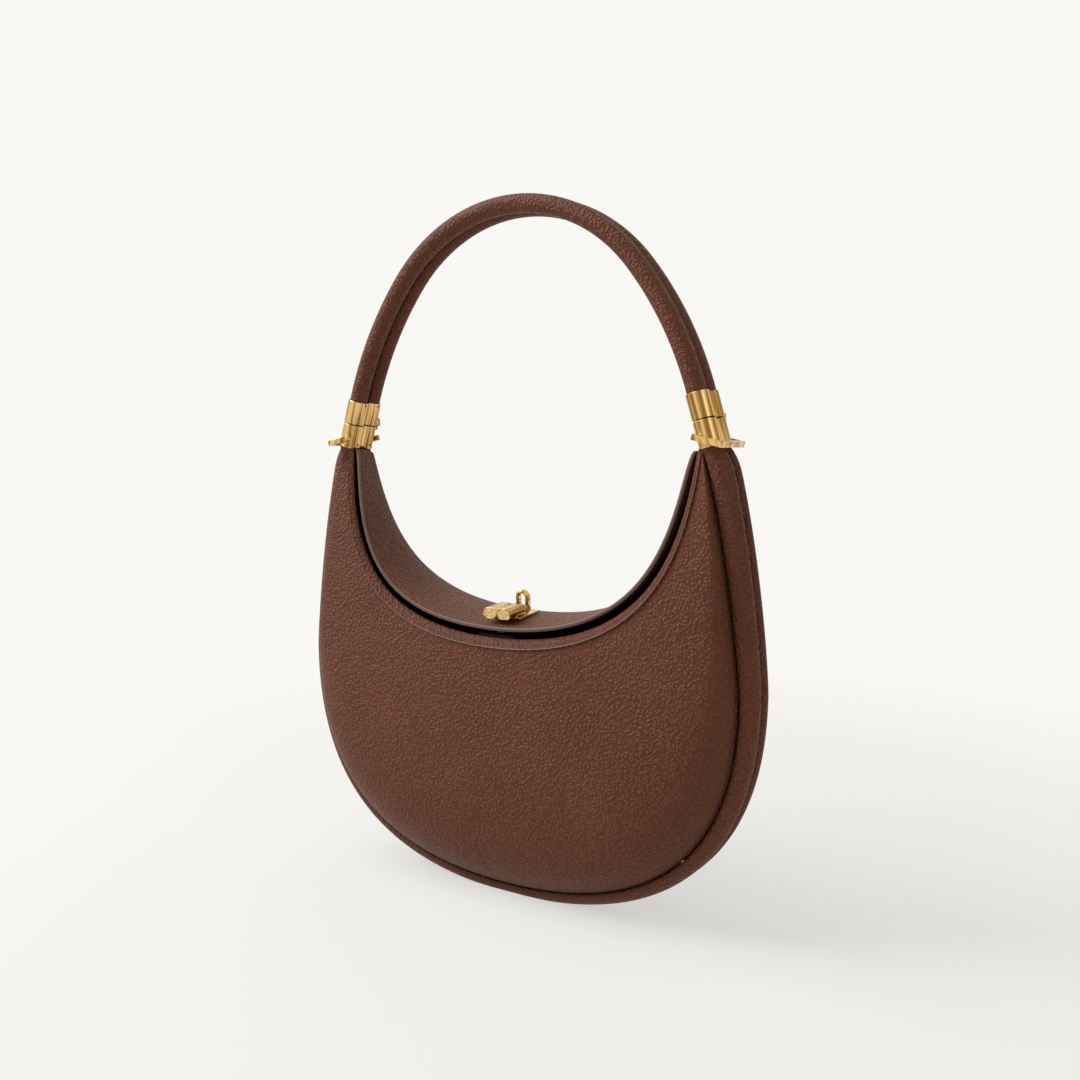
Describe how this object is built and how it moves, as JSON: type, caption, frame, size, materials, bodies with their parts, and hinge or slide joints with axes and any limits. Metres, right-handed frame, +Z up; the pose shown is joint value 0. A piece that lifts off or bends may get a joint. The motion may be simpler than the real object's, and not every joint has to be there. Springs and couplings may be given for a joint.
{
  "type": "shoulder bag",
  "caption": "Crescent shoulder bag in padded leather with a two-tube handle, hinged metal handle ends, strap rings and a lever clasp on a short flap.",
  "frame": {"origin": "centre of the bounding box on the ground under the bag", "axes": "+X along the width, +Y towards the back of the bag, +Z up through the handle"},
  "size_m": [0.301, 0.0658, 0.3958],
  "materials": {
    "leather": "pebbled, semi-matte",
    "lining": "matte",
    "padding": "matte",
    "gold": "polished",
    "cap_metal": "fine relief",
    "steel": "satin"
  },
  "bodies": {
    "bag": {"front_panel": "leather", "back_panel": "leather", "front_gusset_roll": "leather", "back_gusset_roll": "leather", "gusset_seam": "leather", "front_lining": "lining", "back_lining": "lining", "gusset_lining": "lining", "front_facing": "leather", "closure_tab": "leather", "tab_magnet": "steel", "flap_root": "leather", "left_neck_core": "padding", "right_neck_core": "padding", "left_body_ferrule": "gold", "right_body_ferrule": "gold", "body_ferrule_screws": "steel", "left_ring_pin": "gold", "right_ring_pin": "gold", "left_hinge_pin": "gold", "right_hinge_pin": "gold"},
    "flap": {"flap": "leather", "flap_lining": "lining", "flap_magnet": "steel", "clasp_plate": "gold", "clasp_backing": "steel", "clasp_rivets": "gold", "clasp_arch": "gold", "latch_pin": "gold"},
    "latch": {"latch": "gold", "latch_end_caps": "cap_metal"},
    "handle": {"left_handle_ferrule": "gold", "right_handle_ferrule": "gold", "handle_ferrule_screws": "steel", "front_handle_tube": "leather", "back_handle_tube": "leather", "front_handle_core": "padding", "back_handle_core": "padding", "handle_seam": "leather"},
    "left_ring": {"left_strap_ring": "gold"},
    "right_ring": {"right_strap_ring": "gold"}
  },
  "joints": [
    {"name": "flap_open", "type": "hinge", "parent": "bag", "child": "flap", "pos_m": [0, 0.026, 0.1597], "axis": [-1, 0, 0], "range_deg": [0, 90]},
    {"name": "latch_flip", "type": "hinge", "parent": "flap", "child": "latch", "pos_m": [0, -0.00161, 0.16531], "axis": [-1, 0, 0], "range_deg": [0, 90]},
    {"name": "handle_fold", "type": "hinge", "parent": "bag", "child": "handle", "pos_m": [0, 0.0137, 0.27099], "axis": [-1, 0, 0], "range_deg": [0, 75]},
    {"name": "left_ring_swing", "type": "hinge", "parent": "bag", "child": "left_ring", "pos_m": [-0.12105, 0, 0.26112], "axis": [0, 1, 0], "range_deg": [0, 60]},
    {"name": "right_ring_swing", "type": "hinge", "parent": "bag", "child": "right_ring", "pos_m": [0.12105, 0, 0.26112], "axis": [0, -1, 0], "range_deg": [0, 60]}
  ]
}
